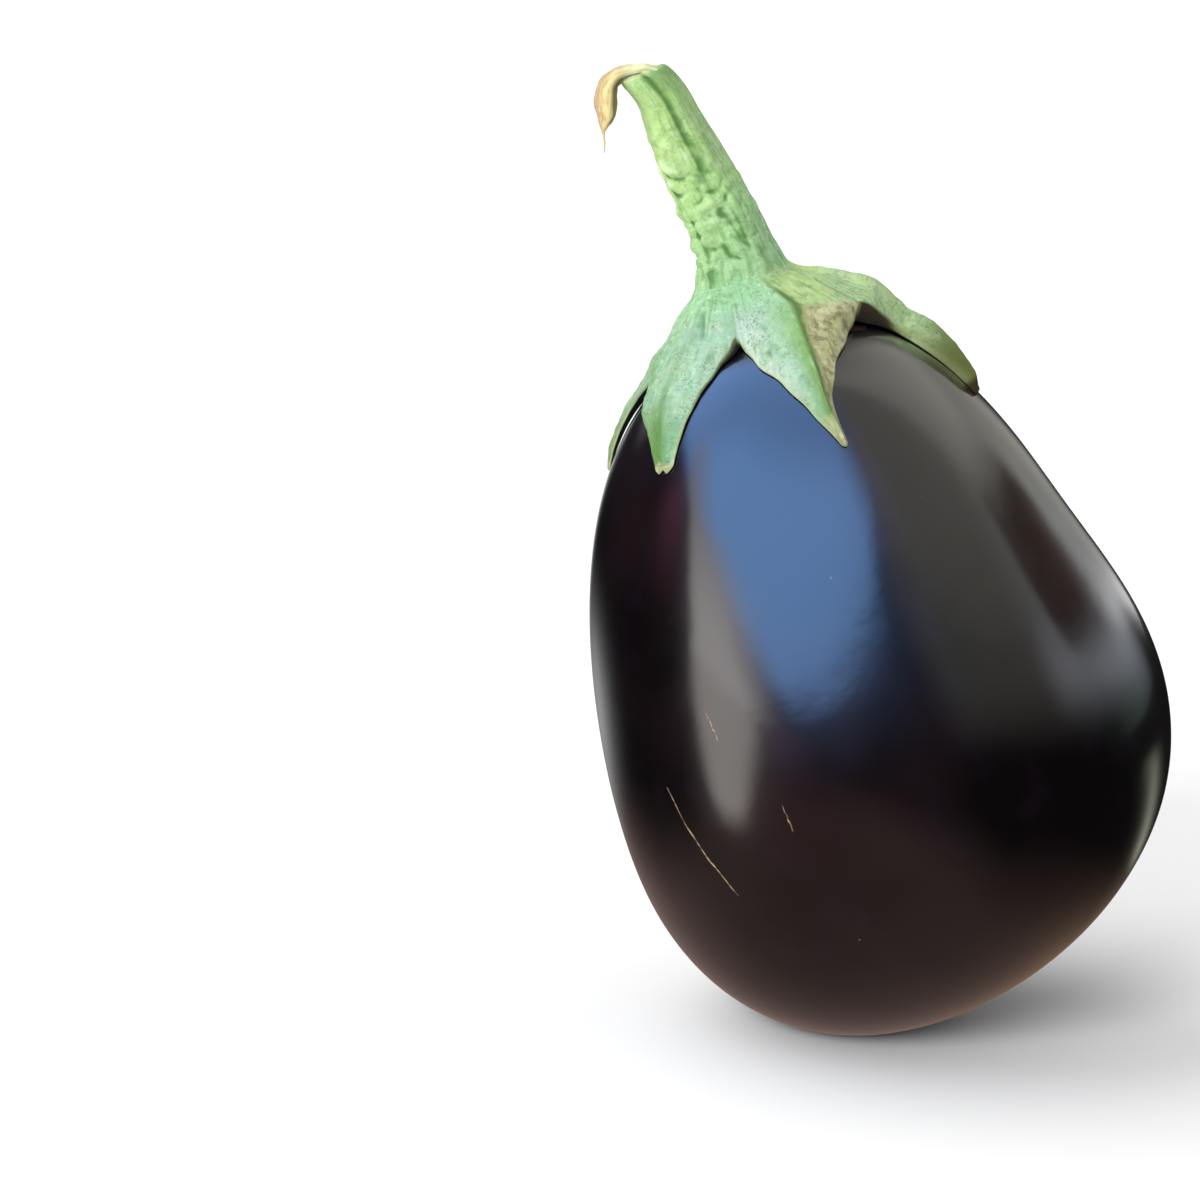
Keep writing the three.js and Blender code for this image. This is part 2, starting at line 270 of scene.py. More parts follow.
fruitForm = {
    "radius": 55, "elongation": 0.176, "pear": 0.1, "shoulder": 0.018, "neck": 0.013,
    "bellySide": -0.018, "neckSide": 0.016, "ribs": 0.006, "ribAz": 297,
    "scarDepth": 1.1, "scarRadius": 5.5, "scarTan": 5.0,
    "bareFade": 3.5,  # mm over which the bare skin under the cap takes on its colour
    "soft": 0.14, "softSize": 26.0,  # broad unevenness, mm high and mm across
    "fine": 0.01, "fineSize": 7.0,
    "rows": 230, "columns": 330,
}
# Waxy, near-black purple skin: a blurred gloss under a clear one, with maroon showing in
# places, a few pale corky dots and a rough tan scar at the blossom end.
skinFinish = {
    "marks": ["scar", "shaded"],
    "noises": {
        "broad": (34, 2), "patchy": (7, 4), "scarEdge": (1.6, 5), "scarTone": (0.8, 4),
        "bareEdge": (2.2, 4), "pores": (0.7, 3), "dimples": (2.6, 2), "ripples": (4, 3, 0.5, 0),
    },
    "dotPitch": 5.5,  # mm between the corky dots, most of them left out
    "made": {
        "scarAt": {"scar": 1, "scarEdge": 0.35}, "scarred": [("scarAt", 0.5, 0.85)],
        "bareAt": {"shaded": 1, "bareEdge": 0.3}, "bare": [("bareAt", 0.45, 0.85)],
        "dull": ("MAXIMUM", "scarred", "bare"),
        "rough": {"plus": 0.19, "patchy": 0.1, "dull": 0.4},
        "height": {"pores": 0.4, "dimples": 1.1},
    },
    "layers": [
        ("#070405", "#12090b", ("broad", 0.42, 0.66)),
        ("#130914", ("patchy", 0.5, 0.75), 0.5),
        ("#a08c7c", ("dotTone", 0.86, 0.9), ("dotReach", 0.045, 0.02), 0.35),
        (("#6b4a30", "#b39468", "scarTone"), "scarred"),
        ("#341913", "bare"),  # where the cap keeps the sun off, it stays reddish and dull
    ],
    "bumps": {"Normal": ("height", 0.2, 3e-5), "Coat Normal": ("ripples", 1.0, 2.2e-5)},
    "shader": {"Roughness": "rough", "IOR": 1.5, "Specular IOR Level": 0.32,
               "Coat Weight": 0.9, "Coat Roughness": 0.1, "Coat IOR": 1.5},
}


# The radius is a ball's, with the first Legendre terms along the axis, a lopsided belly and
# neck, five faint flats, the dent of the blossom scar, and soft lumps.
def skinRadius(theta, az):
    f = fruitForm
    x, s = np.cos(theta), np.sin(theta)
    form = (1 + f["elongation"] * (3 * x**2 - 1) / 2 + f["pear"] * (5 * x**3 - 3 * x) / 2
            + f["shoulder"] * (35 * x**4 - 30 * x**2 + 3) / 8
            + f["neck"] * (63 * x**5 - 70 * x**3 + 15 * x) / 8)
    side = s * (f["bellySide"] * (5 * x**2 - 1) + f["neckSide"] * (7 * x**3 - 3 * x))
    ribs = f["ribs"] * s**3 * np.cos(5 * (az - f["ribAz"] * deg))
    scar = f["scarDepth"] * bump((math.pi - theta) * f["radius"], f["scarRadius"])
    ball = f["radius"] * beside(s * np.cos(az), s * np.sin(az), x)
    soft = f["soft"] * lumps(ball, f["softSize"], 3.3) + f["fine"] * lumps(ball, f["fineSize"], 8.1)
    return f["radius"] * (form + side * np.cos(az) + ribs) - scar + soft


# The skin's point at an angle from the stalk's axis and a direction round it, in radians.
def skinPoint(theta, az):
    r = skinRadius(theta, az)
    s = np.sin(theta)
    return beside(r * s * np.cos(az), r * s * np.sin(az), r * np.cos(theta))


# The skin's outward normal: a small step along crossed with a small step round.
def skinNormal(theta, az):
    t = np.maximum(theta, 0.02)
    along = skinPoint(t + 1e-3, az) - skinPoint(t - 1e-3, az)
    across = skinPoint(t, az + 1e-3) - skinPoint(t, az - 1e-3)
    return unit(np.cross(along, across))


# The fruit: rings of skin points from the blossom end to the stalk, with a pole at each end,
# flat where it stands.
def makeFruit():
    f = fruitForm
    rows, columns = f["rows"], f["columns"]
    theta = math.pi * (1 - np.arange(1, rows) / rows)[:, None]  # from the blossom end up
    az = (2 * math.pi * np.arange(columns) / columns)[None, :]
    grid = skinPoint(theta + 0 * az, az + 0 * theta).reshape(-1, 3)
    poles = skinPoint(np.array([math.pi, 0]), np.array([0.0, 0.0]))
    points = np.vstack([grid, poles])
    standing = centre[2] + points @ axes[:, 2]  # height above the table, kept from going below
    points = points + np.outer(np.maximum(0, -standing), axes[:, 2])
    pole = len(grid)
    faces = [gridFaces(rows - 1, columns, True), fanFaces(0, columns, pole, flip=True),
             fanFaces(pole - columns, columns, pole + 1)]
    scar = bump((math.pi - (theta + 0 * az)) * f["radius"], f["scarTan"]).ravel()
    # under the cap, out to a line that follows its notches
    bareTo = np.interp(az / deg, [q["az"] for q in notches],
                       [q["reach"] + q["bare"] for q in notches], period=360)
    shaded = ease((bareTo - theta * capForm["shoulder"]) / f["bareFade"]).ravel()
    marks = {"scar": np.append(scar, [1, 0]), "shaded": np.append(shaded, [0, 1])}
    piece = makePiece("fruitSkin", points, faces, makeMaterial("eggplantSkin", skinFinish), marks)
    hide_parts("fruit")


# Stalk and cap are one grown surface. A column each for the five sepals, anticlockwise seen
# from above; lengths are in mm.
sepalForm = {
    # direction in degrees, and how far out over the skin the tip lies
    "az": [-7.5, 80, 166, 225.2, 285.8], "reach": [40.8, 39, 38, 35.7, 38.0],
    # how far to both sides the edges lie, at three places
    "left": [[-1.5, -1.6, -1.2], [9.6, 6.6, 2.8], [11.5, 7.5, 3.4], [13.2, 11.0, 6.1],
             [6.1, 4.5, 2.9]],
    "right": [[9.9, 7.1, 3.6], [8.8, 5.4, 2.6], [3.2, 2.2, 1.4], [4.4, 3.3, 2.6], [9.9, 4.9, 1.4]],
    # where the midrib starts and ends, -1 at the left edge and 1 at the right, and its height
    "midrib": [[-0.15, -0.2], [0, 0], [0, 0], [0.1, 0.1], [-0.2, 0.32]],
    "ridge": [2.9, 2.4, 0.5, 1.3, 2.4], "arch": [1.0, 1.2, 0.3, 1.0, 1.1],
    # how far it stands off the skin: the middle, the tip, the least
    "bow": [0, 0.3, 0.8, 0, 0], "lift": [0.05, 0.8, 0.3, 0.1, 0.1],
    "off": [0.04, 0.2, 0.2, 0.2, 0.2],
    "tip": [0.4, 0.9, 0.7, 2.4, 0.7], "split": [0, 0, 0, 1.2, 0],  # half width, and its cleft
    # its edge's thickness, and how soon the wall ends on each side
    "rim": [1.7, 1, 1, 1, 1],
    "wall": [[0.34, 0.08], [0.1, 0.1], [0.1, 0.1], [0.08, 0.28], [0.08, 0.1]],
    # shares of yellow and brown, the last at the tip; the yellow is partly a painted tint of the
    # light
    "warm": [1, 0.6, 0.35, 0.05, 0.1], "brown": [0.15, 0.2, 0.1, 0.05, 0.9],
    "dry": [0, 0.3, 0.4, 0, 0.6],
    # shares of dark green, partly the sepal's own tone and partly painted shade: left edge, right
    # edge, tip
    "deep": [[0.25, 0, 0.85], [0.7, 0.3, 0.5], [0.5, 0.5, 0.4], [0.35, 0, 1], [0, 0, 0.75]],
    # dark line on the midrib, partly painted shade on its far side, and pale bloom on each side of
    # it
    "line": [0.5, 0.6, 0.4, 0.3, 1],
    "bloom": [[0.1, 0.25], [0.1, 0.2], [0.2, 0.5], [0.1, 0.35], [0.65, 0]],
    # painted shade on the wall at each side, how far on and how far in it goes, and darkening
    # towards the tip
    "wallShade": [[1, 0.2], [0.5, 0.3], [0.4, 0.4], [0.2, 0.78], [0, 0.6]],
    "darkTo": [0.15, 0.3, 0.3, 0.3, 0.3], "shade": [0.8, 0.35, 0.35, 0.35, 0.35],
    "tipDarkening": [1, 0.1, 0.3, 0, 0.1],
}
# The notch to the right of each sepal.
notchForm = {
    "az": [37, 118, 180, 253.5, 342], "reach": [16, 15, 15, 11.3, 17],
    "top": [3.6, 3.7, 3.8, 2.4, 4.6], "gap": [0.8, 1, 0.7, 0.25, 0.9],
    "bare": [2.5, 2.5, 1.5, -1.5, 3.5],  # where the skin's own colour starts, past the notch
}
sepals, notches = ([{key: row[i] for key, row in form.items()} for i in range(5)]
                   for form in (sepalForm, notchForm))
capForm = {
    "shoulder": 66, "collarReach": 6.8, "collarHeight": 80.5, "shoulderTop": 6.8, "skinGap": 0.03,
    "skinTop": 71.885,  # the skin's height under the middle of the collar
    "rim": [1.35, 0.9], "wave": 0.22,
    "bead": 0.5, "taper": 2.8,  # how far in from its edge a sepal rounds off and thins, mm
    "curl": 0.12,  # how far the edge turns up, mm
    "vein": 0.2, "lump": 0.25, "pebble": 0.1, "crease": 0.15,
    "topPole": [0.2, -0.2, 81.4], "underPole": [0, 0, 72.335],  # where it closes, unseen
    "overlap": [0.44, 0.56], "sink": 0.06,  # where the fillet's two pieces overlap, and how deep
    "columns": 61, "disc": 26, "underDisc": 10, "lobe": 62, "bandStart": 0.13,
}
stalkLine = np.array([
    [0.3, 0, 80.85], [0.2, -0.3, 85.5], [-0.4, -0.9, 91.5], [-1.4, -1.4, 97], [-2.6, -2.2, 103.5],
    [-3.6, -3.1, 110], [-4.2, -3.7, 115], [-5.5, -4.1, 118.6], [-6.6, -4.3, 120.2],
])
stalkRadius = [8.2, 7.0, 6.5, 6.2, 5.8, 5.1, 4.5, 4.1, 3.4]
stalkForm = {
    "length": 42, "ridgeAz": 297, "ridge": 0.055, "grooveAz": -79, "groove": [0.55, 0.65],
    "knob": 0.42, "knobSize": [4.2, 4.2, 2.7], "fibre": 0.05,
    "fold": 0.35, "foldSize": [2.4, 2.4, 9],
    "roll": 0.42, "rollPitch": 3.5, "rollAz": 207, "endSkew": 0.5,
    "foot": [0.2, -0.2, 82.0],  # where it closes below, unseen
    "rows": 170, "start": 0.075, "band": 16,
    # the torn end's rings: their size and how far they rise, mm
    "torn": [(0.98, 0.25), (0.92, 0.5), (0.82, 0.7), (0.68, 0.9), (0.45, 1.05), (0.22, 1.1)],
}


# Spread over a sepal from -1 to 1, closer together towards its edges.
def columnsAcross():
    x = np.linspace(-1, 1, capForm["columns"])
    return mix(x, np.sin(x * math.pi / 2), 0.75)


# Where points of a sepal lie, for arrays s across it and out along it (-1 at the collar, 0 at
# the notches, 1 at the tip): reach over the skin, direction in degrees, and the distance from
# the edge in mm. Edges are smooth curves from notch to tip, and rows run between them.
def capPlace(sepal, left, right, s, out):
    disc, lobe = np.minimum(1, out + 1), np.maximum(0, out)
    lt, rt = turn(left["az"], sepal["az"]) * deg, turn(right["az"], sepal["az"]) * deg
    start = mix(left["reach"] * math.cos(lt), right["reach"] * math.cos(rt), (s + 1) / 2)
    wave = (capForm["wave"] * (np.sin(8 * math.pi * lobe) + 0.6 * np.sin(21 * lobe + sepal["az"]))
            * np.abs(s) ** 3 * (1 - lobe) * ease(lobe / 0.1))
    toLeft = curveThrough([-left["reach"] * math.sin(lt), *sepal["left"], sepal["tip"]], lobe)
    toRight = curveThrough([right["reach"] * math.sin(rt), *sepal["right"], sepal["tip"]], lobe)
    half = (toRight + toLeft) / 2
    across = (toRight - toLeft) / 2 + s * half + wave * np.sign(s)
    cleft = sepal["split"] * bump(s, 0.3) + 0.8 * sepal["tip"] * s * s
    along = mix(start + 2.5 * (1 - s * s), sepal["reach"] - cleft, lobe)
    reach, az = np.hypot(along, across), np.arctan2(across, along) / deg
    even = mix(lt, rt, (s + 1) / 2) / deg
    toEdge = np.minimum((1 - np.abs(s)) * half, (1 - lobe) * (sepal["reach"] - start))
    return (mix(capForm["collarReach"], reach, disc), sepal["az"] + mix(even, az, disc), toEdge,
            across, along)


# Heights of a sepal's top and underside above the skin: a raised midrib on an arched blade,
# a wall at the notches that thins to a rounded edge, and the stand-off from the skin.
def capHeights(sepal, left, right, s, out, toEdge):
    f = capForm
    disc, lobe = np.minimum(1, out + 1), np.maximum(0, out)
    fillet = (f["collarHeight"] - f["skinTop"] - f["shoulderTop"]) * (1 - disc) ** 5
    across = 1 - np.abs(s) ** 2.2
    notchTop = mix(left["top"], right["top"], (s + 1) / 2)
    notchGap = mix(left["gap"], right["gap"], (s + 1) / 2)
    arch = sepal["arch"] * ease(disc) * (1 - 0.6 * lobe) * across
    offMidrib = s - mix(*sepal["midrib"], lobe)
    crest = 0.68 * bump(offMidrib, 0.26) + 0.34 * bump(offMidrib, 0.09)
    hump = (0.6 + 0.4 * bump(lobe, 0.13) + 0.28 * bump(lobe - 0.5, 0.2)) * (1 - lobe**4)
    ridge = sepal["ridge"] * (0.3 + 0.7 * ease(disc)) * hump * across * crest
    # the edges stand off the skin, the thick middle lies on it
    standOff = (notchGap * (1 - lobe) ** 3.5 * (0.12 + 0.88 * np.abs(s) ** 1.6)
                + 4 * sepal["bow"] * lobe * (1 - lobe) + sepal["lift"] * lobe)
    close = mix(f["skinGap"], sepal["off"], ease(lobe / 0.4))
    under = mix(f["skinGap"], np.maximum(close, standOff), ease(disc))
    thin = np.maximum(under, close) + sepal["rim"] * mix(*f["rim"], lobe)
    fall = mix(ease(3 * lobe), 1 - (1 - np.minimum(1, 3.2 * lobe)) ** 1.6, np.abs(s) ** 5)
    rim = mix(notchTop, thin, fall)
    edge = mix(f["shoulderTop"], rim, ease(disc) ** 1.6) + fillet
    onLobe = ease(lobe / mix(*sepal["wall"], ease((s + 1) / 2)))
    # side veins leave the midrib towards the tip
    q = 5.5 * lobe + 0.9 - 1.5 * np.abs(offMidrib) + 0.25 * np.sin(3 * lobe + sepal["az"])
    vein = bump((q % 1) - 0.5, 0.13) * ease(np.abs(offMidrib) / 0.2) * ease((1 - np.abs(s)) / 0.3)
    top = np.maximum(edge, thin) + arch + ridge + f["vein"] * vein * onLobe * (1 - lobe)
    bead = np.sqrt(1 - (1 - np.minimum(1, toEdge / f["bead"])) ** 2)
    inward = np.maximum(ease(toEdge / f["taper"]), ease((1 - np.abs(s)) / 0.75))
    thinned = mix(0.4, 1, inward) * (0.16 + 0.84 * bead) * (1 - 0.45 * ease((lobe - 0.86) / 0.14))
    top = under + (top - under) * mix(1, thinned, onLobe)
    curl = (f["curl"] * bump(toEdge, 0.9) * onLobe * (1 - lobe)
            * (0.6 + 0.4 * np.sin(17 * lobe + 2 * s)))
    return top + curl, under + curl


# Points along the stalk's middle line, eased as a centripetal curve through its stations.
def stalkMiddle(t):
    p = np.vstack([2 * stalkLine[0] - stalkLine[1], stalkLine, 2 * stalkLine[-1] - stalkLine[-2]])
    x = np.clip(t, 0, 1) * (len(stalkLine) - 1)
    i = np.clip(np.floor(x).astype(int), 0, len(stalkLine) - 2)
    f = (x - i)[:, None]
    a, b, c, d = p[i], p[i + 1], p[i + 2], p[i + 3]
    da, db, dc = (np.linalg.norm(q, axis=1)[:, None] ** 0.5 for q in (b - a, c - b, d - c))
    m = ((b - a) / da - (c - a) / (da + db) + (c - b) / db) * db
    n = ((c - b) / db - (d - b) / (db + dc) + (d - c) / dc) * db
    return b + m * f + (3 * (c - b) - 2 * m - n) * f**2 + (2 * (b - c) + m + n) * f**3


# Frames along a line: the points, and unit vectors sideways, backwards and onwards.
def framesAlong(line, t, side):
    at = line(t)
    onward = unit(line(np.minimum(1, t + 1e-3)) - line(np.maximum(0, t - 1e-3)))
    sides = []
    for o in onward:
        side = unit(side - o * (side @ o))
        sides.append(side)
    sides = np.array(sides)
    return at, sides, np.cross(onward, sides), onward


# Rings of the stalk at t with the given directions: five ridges, the groove that runs down
# from the torn end, and round knobs parted by narrow creases.
def stalkRings(t, az):
    f = stalkForm
    lead = 11  # steps from the line's own foot, where the frames start, to the first ring
    full = np.concatenate([np.linspace(0, t[0], lead + 1)[:-1], t])
    line = framesAlong(stalkMiddle, full, np.array([1.0, 0, 0]))
    at, side, back, onward = (a[lead:, None, :] for a in line)
    t = t[:, None]
    r = curveThrough(stalkRadius, t)
    ridge = 1 + f["ridge"] * np.cos(5 * (az - f["ridgeAz"]) * deg)
    off = turn(az, f["grooveAz"])
    wide, narrow = f["groove"]
    deep = ease(1.6 * t) * (wide * bump(off, 16) + narrow * bump(off + 4 * np.sin(9 * t), 7))
    c, s = np.cos(az * deg), np.sin(az * deg)
    plain = offLine(at, side, back, r * c, r * s)
    knobby = bump(t - 0.3, 0.3) * (0.25 + 0.75 * (0.5 - 0.5 * c) ** 0.7)
    billow = 2.6 * np.sqrt(lumps(plain, f["knobSize"], 5.2) ** 2 + 0.01) - 0.8
    small = 0.9 * lumps(plain, np.array(f["knobSize"]) / 2.3, 1.7)
    strand = lumps(beside(c * 9, s * 9, t), [1.0, 1.0, 0.25], 2.0)
    relief = f["knob"] * knobby * (billow + 0.4 * small) + f["fibre"] * strand * (1 - 0.5 * knobby)
    turned = beside(c * r, s * r, f["length"] * t)
    fold = 2.6 * np.sqrt(lumps(turned, f["foldSize"], 7.7) ** 2 + 0.01) - 0.8
    relief = relief + f["fold"] * fold * ease((0.5 - t) / 0.35) * (1 - 0.6 * np.clip(c, 0, 1))
    # fat rolls lie across its left side, parted by dark creases
    turns = (f["length"] * t / f["rollPitch"] + 0.35 * np.sin(2.2 * (az - f["rollAz"]) * deg)
             + 0.5 * lumps(plain, [6, 6, 5], 8.8))
    roll = 1.4 * np.abs(np.sin(math.pi * turns)) ** 0.6 - 0.8
    relief = relief + f["roll"] * roll * bump(turn(az, f["rollAz"]), 42) * bump(t - 0.42, 0.21)
    out = r * ridge - deep + relief
    out = out * (1 - 0.16 * np.clip((t - 0.955) / 0.045, 0, 1) ** 2 * (0.6 + 0.4 * c))
    skew = -f["endSkew"] * ease(4 * t - 3) * out * c
    points = offLine(at, side, back, out * c, out * s) + onward * skew[..., None]
    return points, unit(offLine(0, side, back, c, s)), relief / f["knob"] - 0.5 * deep


# A sepal's points at the given rows: where they lie, the skin's points and normals under them,
# and the heights of its top and underside.
def sepalRows(i, rows):
    sepal, left, right = sepals[i], notches[i - 1], notches[i]
    s, out = columnsAcross()[None, :], rows[:, None]
    reach, az, toEdge, across, along = capPlace(sepal, left, right, s, out)
    theta = reach / capForm["shoulder"]
    foot, normal = skinPoint(theta, az * deg), skinNormal(theta, az * deg)
    top, under = capHeights(sepal, left, right, s, out, toEdge)
    fibre = beside(across, along, 0)
    return s, out, reach, az * deg, toEdge, fibre, foot, normal, top, under


# What the green finish reads at a sepal's points. Each is a share, from how far the point lies
# from the left edge to the right one, past the midrib, and from the notches to the tip.
def sepalMarks(i, s, out, toEdge):
    sepal = sepals[i]
    lobe = np.maximum(0, out) + 0 * s
    past = s - mix(*sepal["midrib"], lobe)
    aside = np.where(s < 0, sepals[i - 1]["warm"], sepals[(i + 1) % 5]["warm"])
    fromBoth = np.abs(s) ** 2.5 * (1 - ease(lobe / 0.5))
    warm = mix(sepal["warm"], (sepal["warm"] + aside) / 2, fromBoth)
    flank = sepal["brown"] * ease((past + 0.02) / 0.35) * ease((out + 0.3 + 0 * s) / 0.6)
    flank = flank * (0.9 + 0.5 * bump(lobe - 0.05, 0.22))
    tipBrown = 0.8 * ease((lobe - 0.9) / 0.1) + sepal["dry"] * ease((lobe - 0.5) / 0.5)
    leftDeep, rightDeep, tipDeep = sepal["deep"]
    # dark green, partly the sepal's own tone and partly painted shade, as beside the midrib
    deep = ((leftDeep * ease((-s - 0.1) / 0.6) + rightDeep * ease((s - 0.1) / 0.6))
            * ease(2 * out + 1)
            + tipDeep * ease((lobe - 0.3) / 0.5) * (0.3 + 0.7 * bump(past + 0.1, 0.5))
            + 1.3 * sepal["line"] * bump(past - 0.12, 0.09) * (1 - lobe**4) * ease(out + 1.2))
    edge = np.where(lobe > 0, 1 - np.minimum(1, toEdge / 1.1), 0) * ease(lobe / 0.05)
    # painted shade on the notch walls, darkest at their feet
    wall = np.where(s < 0, *sepal["wallShade"]) * (1 - ease((lobe - sepal["darkTo"]) / 0.4))
    paintedWallShade = wall * ease((sepal["shade"] - toEdge) / sepal["shade"]) * ease((out + 0.03) / 0.03)
    tipDarkening = sepal["tipDarkening"] * (0.72 * ease((lobe - 0.22) / 0.5) + 0.3 * ease((lobe - 0.85) / 0.1))
    return {
        "warm": np.maximum(warm, 1.1 * sepal["brown"] * ease((past + 0.12) / 0.3)),
        "brown": np.maximum(flank, tipBrown), "edge": edge * (1 - wall),
        "under": np.maximum(paintedWallShade, tipDarkening), "deep": deep + 0 * s,
        "bloom": (mix(*sepal["bloom"], ease((past + 0.7) / 0.8)) * ease((out + 0.9) / 0.7)
                  * (1 - 0.7 * ease((lobe - 0.4) / 0.4))),
        "crest": (sepal["line"] * bump(past - 0.01, 0.27) * (1 - lobe**4)
                  * ease((out + 0.4) / 0.9)),
        "stem": 0.4 * ease((-0.2 - out) / 0.67) + 0 * s,
    }


# The sepals' tops and the stalk's rings, and between them a smooth fillet: a cubic curve in
# each direction that leaves both along their own slopes.
def makeCrown():
    f, g = capForm, stalkForm
    disc = np.linspace(f["bandStart"], 1, f["disc"]) - 1
    rows = np.append(disc, np.linspace(0, 1, f["lobe"] + 1)[1:])
    tops, ringAz = [], []
    for i, sepal in enumerate(sepals):
        s, out, reach, az, toEdge, fibre, foot, normal, top, _ = sepalRows(i, rows)
        lobe = np.maximum(0, out) + 0 * s
        rough = f["lump"] * lumps(foot, 2.6, 4.4) + f["pebble"] * lumps(foot, 0.9, 9.1)
        rough = rough * mix(1, np.minimum(1, 0.25 + toEdge / 2.5), ease(lobe / 0.08))
        ray = beside(19 * np.cos(az), 19 * np.sin(az), reach / 9)
        crease = lumps(ray, 1.0, 6.3) + 0.5 * lumps(2 * ray, 1.0, 2.6)
        wrinkle = f["crease"] * crease * ease((reach - 6) / 5) * (1 - ease((lobe - 0.3) / 0.5))
        rough = rough + wrinkle
        # hollow is painted shade: darker where the surface lies lower and in its creases
        tops.append({
            "points": foot + normal * top[..., None], "normal": normal, "rough": rough,
            "hollow": -1.2 * rough - 1.5 * wrinkle, "fibre": fibre,
            **sepalMarks(i, s, out, toEdge),
        })
        ends = [turn(notches[k]["az"], sepal["az"]) for k in (i - 1, i)]
        ringAz.append(sepal["az"] + mix(*ends, (s + 1) / 2)[0, :-1])
    ringAz = np.concatenate(ringAz)[None, :]
    # the disc rows of all the sepals make whole rings, and so do the stalk's rows
    rings = {key: np.concatenate([q[key][:f["disc"], :-1] for q in tops], axis=1)
             for key in tops[0]}
    t = np.linspace(g["start"], 1, g["rows"])
    stalk, outward, relief = stalkRings(t, ringAz)
    a, b = rings["points"][0], stalk[0]
    reach = 1.6 * np.linalg.norm(b - a, axis=-1, keepdims=True)
    fromCap = unit(a - rings["points"][1]) * reach
    toStalk = unit(stalk[1] - b) * reach
    c = np.linspace(0, 1, g["band"] + 2)[1:-1][:, None, None]
    band = ((2 * c**3 - 3 * c**2 + 1) * a + (c**3 - 2 * c**2 + c) * fromCap
            + (3 * c**2 - 2 * c**3) * b + (c**3 - c**2) * toStalk)
    return {
        "tops": tops, "join": rings, "stalk": stalk, "outward": outward, "relief": relief,
        "band": band, "bandNormal": unit(mix(rings["normal"][0], outward[0], c)),
        "c": c[..., 0], "t": t, "az": ringAz,
    }


# The fillet's rows: their unevenness goes from the cap's to a slight one of their own, and
# they sink where the other piece covers them.
def filletRows(band, normal, c, rough, sink):
    return band + normal * (mix(rough, 0.06 * lumps(band, 1.2), ease(2 * c)) - sink)[..., None]


# Leathery green of cap and stalk: pale bluish-green with darker mottling and greyish-purple
# flecks, yellower to one side, partly its own tone and partly a painted tint of the light; painted
# shade in the creases, on the undersides and notch walls and in some of the dark green; painted
# highlight on the stalk's knobs; pale along edges, brown where it is dry.
greenFinish = {
    "marks": ["warm", "brown", "edge", "hollow", "under", "cut", "crest", "stem", "deep", "bloom"],
    "noises": {
        "broad": (6, 3), "clump": (3.4, 3), "mottle": (2, 5, 0.62, 0.6),
        "fleck": (0.75, 4, 0.7, 0), "cloud": (1.3, 3, 0.6, 0.4), "dust": (0.42, 2, 0.5, 0),
        "patch": (2.2, 6, 0.72, 0.3), "streak": ((1.5, 0.16), 4, 0.6, 0),
        "dash": ((0.45, 1.3), 5, 0.65, 0.4),
    },
    "made": {
        "onCap": {"plus": 1.0, "stem": -0.45, "warm": -0.18},
        "bloomAt": {"mottle": 1, "streak": 0.8}, "crestAt": {"streak": 1, "mottle": 0.6},
        "deepAt": {"streak": 1, "deep": 0.3},
        "clumped": [("clump", 0.44, 0.62)], "dusty": {"bloom": 0.25, "clumped": 0.6},
        "patchAt": {"patch": 1, "brown": 0.15}, "lineAt": ("MAXIMUM", "streak", "fleck"),
        "specks": [("patchAt", 0.6, 0.76), 0.9], "lines": [("lineAt", 0.55, 0.68), 0.6],
        "broken": ("MAXIMUM", "specks", "lines"),
        "dryAt": {"plus": -0.6, "brown": 1, "mottle": 1.2}, "edgeAt": {"edge": 1, "fleck": 0.3},
        "height": {"mottle": 0.5, "fleck": 0.3, "streak": 0.6},
        "dull": {"plus": 0.46, "fleck": 0.2, "under": 0.45}, "rough": ("MINIMUM", "dull", 1.0),
    },
    "layers": [
        ("#78a581", "#abc080", "warm"),
        (("#98c98c", "#aac672", "warm"), "stem"),
        ("#98b583", ("broad", 0.4, 0.7), 0.5),
        ("#5c8a4a", ("mottle", 0.5, 0.62), 0.7, "onCap"),
        ("#bfdab4", ("cloud", 0.5, 0.34), 0.32),
        ("#6f9a5e", ("cloud", 0.54, 0.7), 0.45, "onCap"),
        ("#4f7d40", ("streak", 0.52, 0.78), 0.5),
        ("#578a4c", ("dash", 0.54, 0.66), 0.75, "onCap"),
        ("#bcc6c0", "bloom", ("bloomAt", 0.6, 1.05)),
        ("#6f9244", "crest", ("crestAt", 0.45, 0.8)),
        ("#52782f", "deep", ("deepAt", 0.42, 0.66)),
        # painted highlight on the stalk's knobs' tops, then painted shade in the creases and pits
        ("#cfe6b0", ("hollow", 0, -0.8), 0.7, "stem"),  # the knobs' tops
        ("#426f2e", ("hollow", 0.1, 0.8), 0.9),
        ("#59605f", ("dust", 0.54, 0.66), "onCap", "dusty"),
        # where it dries, pale olive tan, broken up by brown specks and short lines
        ((("#bbb892", "#9fa06c", ("mottle", 0.4, 0.6)), "#5f4f30", "broken", 0.85),
         ("dryAt", 0.22, 0.7), 0.92),
        ("#b6c290", ("edgeAt", 0.6, 1.05), 0.42),
        (("#a3b56a", "#cdd4a0", "mottle"), "cut"),
        # painted shade: undersides, notch walls and the darker tips, olive brown to near black
        (("#3d2f18", "#5e5a28", "mottle"), "under"),
        ("#1e130b", ("under", 0.78, 1), 0.75),
    ],
    "bumps": {"Normal": ("height", 0.6, 3.2e-4)},
    "shader": {"Roughness": "rough", "Specular IOR Level": 0.35,
               "Sheen Weight": 0.03, "Sheen Roughness": 0.5},
}


